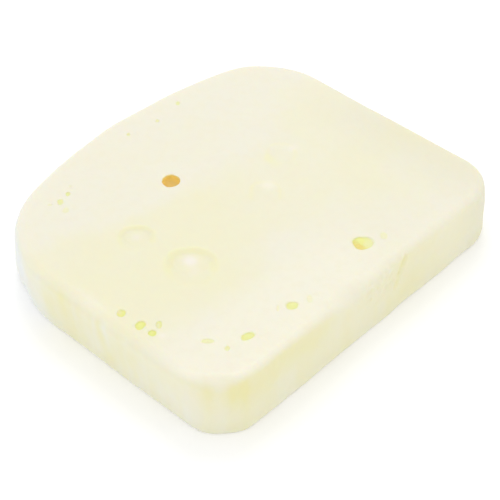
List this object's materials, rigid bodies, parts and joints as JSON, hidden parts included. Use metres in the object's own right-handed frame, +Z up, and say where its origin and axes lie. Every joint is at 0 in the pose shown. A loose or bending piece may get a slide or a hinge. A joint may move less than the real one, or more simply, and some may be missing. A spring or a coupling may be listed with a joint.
{
  "type": "cheese slab",
  "caption": "Thick slice of a small semi-soft cheese loaf: straight front, parallel sides, arched back, round eyes and pinholes in its cut faces.",
  "frame": {"origin": "centre of the slice's footprint box, on the lower cut face that it rests on", "axes": "+Z up through the thickness, +X along the width from the left wall to the right wall, +Y from the straight front side to the arched back"},
  "size_m": [0.1016, 0.0866, 0.0175],
  "materials": {
    "cheese": "satin, slightly moist pale ivory cheese paste"
  },
  "bodies": {
    "root": {"cheese_slab": "cheese"}
  },
  "joints": []
}
